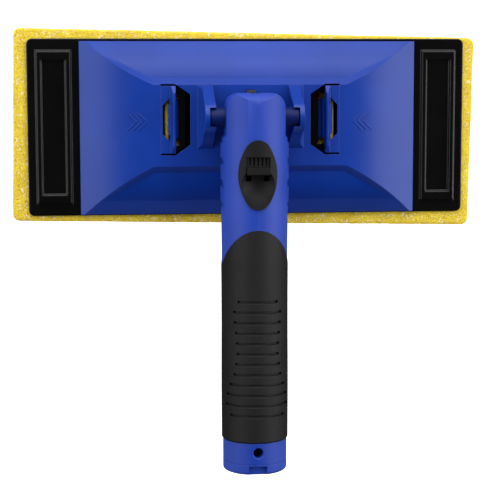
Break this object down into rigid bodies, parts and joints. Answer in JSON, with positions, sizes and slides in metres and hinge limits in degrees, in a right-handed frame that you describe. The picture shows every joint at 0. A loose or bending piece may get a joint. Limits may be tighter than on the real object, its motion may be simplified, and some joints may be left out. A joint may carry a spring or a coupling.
{
  "type": "swivel-handle pad cleaner",
  "caption": "Flat foam cleaning pad on a clip-on carrier plate, under a moulded head with release latches, a lockable pivoting handle, a rubber grip and a pole socket.",
  "frame": {"origin": "a point on the pad's working face, directly below the centre of the carrier plate", "axes": "+X along the pad, +Y from the handle towards the far side of the head, +Z from the working face up through the head"},
  "size_m": [0.2322, 0.2161, 0.0628],
  "materials": {
    "pile": "short pile",
    "foam": "open-cell foam",
    "adhesive": "film",
    "plate_black": "glossy",
    "blue_plastic": "semi-gloss moulded",
    "black_plastic": "fine satin",
    "grey_plastic": "satin",
    "grip_rubber": "soft matte",
    "steel": "zinc plated"
  },
  "bodies": {
    "head": {"pad_face": "pile", "foam_pad": "foam", "pad_adhesive": "adhesive", "carrier_plate": "plate_black", "head_shell": "blue_plastic", "index_sector": "grey_plastic", "sector_screws": "steel"},
    "handle": {"handle_left_shell": "blue_plastic", "handle_right_shell": "blue_plastic", "shell_screws": "steel", "pivot_axle": "blue_plastic", "grip_sleeve": "grip_rubber", "pole_socket": "blue_plastic", "lock_bezel": "black_plastic", "detent_spring": "steel"},
    "lock": {"lock_slider": "black_plastic", "lock_bolt": "grey_plastic"},
    "latch_left": {"left_latch": "blue_plastic"},
    "latch_right": {"right_latch": "blue_plastic"}
  },
  "joints": [
    {"name": "handle_pivot", "type": "hinge", "parent": "head", "child": "handle", "pos_m": [0, 0.0056, 0.0433], "axis": [-1, 0, 0], "range_deg": [0, 90]},
    {"name": "lock_slide", "type": "slide", "parent": "handle", "child": "lock", "axis": [0, 1, 0], "range_m": [0, 0.004]},
    {"name": "left_latch_flex", "type": "hinge", "parent": "head", "child": "latch_left", "pos_m": [-0.0442, 0.0039, 0.0283], "axis": [0, 1, 0], "range_deg": [0, 7], "stiffness_Nm_per_rad": 0.6},
    {"name": "right_latch_flex", "type": "hinge", "parent": "head", "child": "latch_right", "pos_m": [0.0442, 0.0039, 0.0283], "axis": [0, -1, 0], "range_deg": [0, 7], "stiffness_Nm_per_rad": 0.6}
  ]
}
